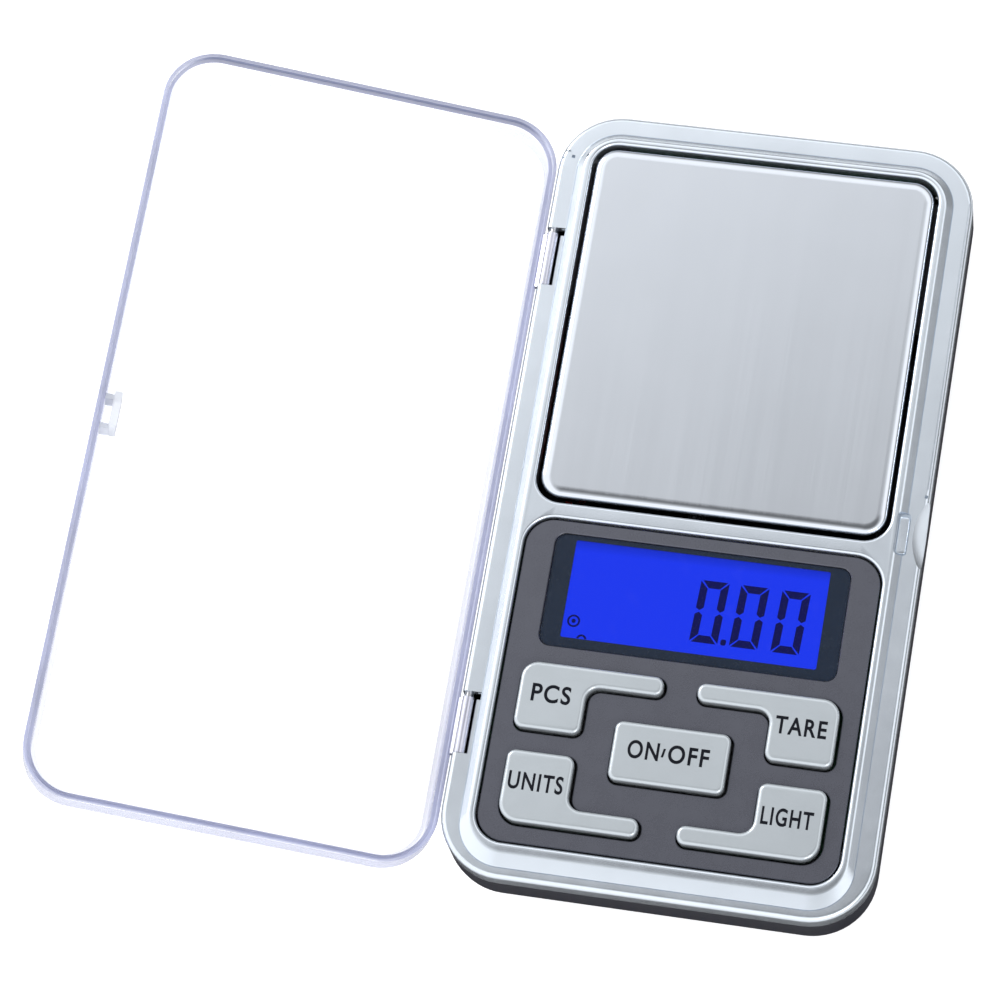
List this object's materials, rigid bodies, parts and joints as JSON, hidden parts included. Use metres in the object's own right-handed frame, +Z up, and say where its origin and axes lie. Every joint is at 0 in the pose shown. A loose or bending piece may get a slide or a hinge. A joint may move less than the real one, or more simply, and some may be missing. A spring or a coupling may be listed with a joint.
{
  "type": "digital gram scale",
  "caption": "Pocket digital gram scale with a steel weighing plate, blue backlit display, push keys and a hinged clear lid that folds over as a cover.",
  "frame": {"origin": "middle of the whole outline with the lid open, on the plane that the four feet rest on; the body's own middle is 30.1 mm to the right of it", "axes": "+X across the body to the user's right, +Y along the body from the keypad to the weighing plate, +Z up"},
  "size_m": [0.1232, 0.12, 0.0278],
  "materials": {
    "black_case": "fine texture",
    "silver_case": "satin silver lacquer on plastic",
    "panel": "satin",
    "lens": "gloss, smoked",
    "gasket": "matte",
    "display": "gloss",
    "white_plastic": "matte",
    "backlight": "diffuse",
    "elastomer": "matte",
    "circuit_board": "solder mask",
    "chip": "matte",
    "tin": "satin",
    "capacitor": "matte",
    "screw": "zinc plated",
    "silicone": "matte",
    "key": "satin",
    "contact_pad": "matte carbon",
    "plate_steel": "brushed along its length",
    "bracket": "matte",
    "beam": "machined",
    "spacer": "stamped",
    "gauge": "film",
    "cable": "insulated",
    "cell": "plain green sleeve",
    "contact": "nickel plated",
    "red_lead": "insulated",
    "black_lead": "insulated",
    "foot": "matte",
    "label": "foil, blank",
    "clear_lid": "clear moulded plastic",
    "pin": "bright"
  },
  "bodies": {
    "case": {"bottom_case": "black_case", "top_frame": "silver_case", "face_panel": "panel", "lcd_lens": "lens", "lcd_gasket": "gasket", "lcd_glass": "display", "lcd_carrier": "white_plastic", "lcd_backlight": "backlight", "zebra_connector": "elastomer", "main_pcb": "circuit_board", "controller_chip": "chip", "adc_chip": "chip", "crystal": "tin", "pcb_capacitors": "capacitor", "pcb_screws": "screw", "keypad_mat": "silicone", "load_cell": "beam", "load_cell_spacer": "spacer", "load_cell_screws": "screw", "strain_gauges": "gauge", "load_cell_cable": "cable", "battery_cell_front": "cell", "battery_cell_back": "cell", "battery_springs": "contact", "battery_plates": "contact", "battery_lead_positive": "red_lead", "battery_lead_negative": "black_lead", "case_screws": "screw", "rubber_feet": "foot", "rating_label": "label", "hinge_pins": "pin"},
    "lid": {"lid": "clear_lid"},
    "platform": {"platform_plate": "plate_steel", "platform_bracket": "bracket", "bracket_screws": "screw", "load_cell_free_end": "beam"},
    "pcs_key": {"key_pcs": "key", "pad_pcs": "contact_pad"},
    "tare_key": {"key_tare": "key", "pad_tare": "contact_pad"},
    "units_key": {"key_units": "key", "pad_units": "contact_pad"},
    "light_key": {"key_light": "key", "pad_light": "contact_pad"},
    "on_off_key": {"key_on_off": "key", "pad_on_off": "contact_pad"},
    "door": {"battery_door": "black_case"}
  },
  "joints": [
    {"name": "lid_hinge", "type": "hinge", "parent": "case", "child": "lid", "pos_m": [-0.00045, 0, 0.01355], "axis": [0, 1, 0], "range_deg": [0, 165.8]},
    {"name": "platform_sink", "type": "slide", "parent": "case", "child": "platform", "axis": [0, 0, 1], "range_m": [-0.0003, 0], "stiffness_N_per_m": 20000, "springref_m": 0.00002},
    {"name": "pcs_press", "type": "slide", "parent": "case", "child": "pcs_key", "axis": [0, 0, 1], "range_m": [-0.0006, 0], "stiffness_N_per_m": 1500, "springref_m": 0.0002},
    {"name": "tare_press", "type": "slide", "parent": "case", "child": "tare_key", "axis": [0, 0, 1], "range_m": [-0.0006, 0], "stiffness_N_per_m": 1500, "springref_m": 0.0002},
    {"name": "units_press", "type": "slide", "parent": "case", "child": "units_key", "axis": [0, 0, 1], "range_m": [-0.0006, 0], "stiffness_N_per_m": 1500, "springref_m": 0.0002},
    {"name": "light_press", "type": "slide", "parent": "case", "child": "light_key", "axis": [0, 0, 1], "range_m": [-0.0006, 0], "stiffness_N_per_m": 1500, "springref_m": 0.0002},
    {"name": "on_off_press", "type": "slide", "parent": "case", "child": "on_off_key", "axis": [0, 0, 1], "range_m": [-0.0006, 0], "stiffness_N_per_m": 1500, "springref_m": 0.0002},
    {"name": "door_slide", "type": "slide", "parent": "case", "child": "door", "axis": [0, 1, 0], "range_m": [0, 0.006]}
  ]
}
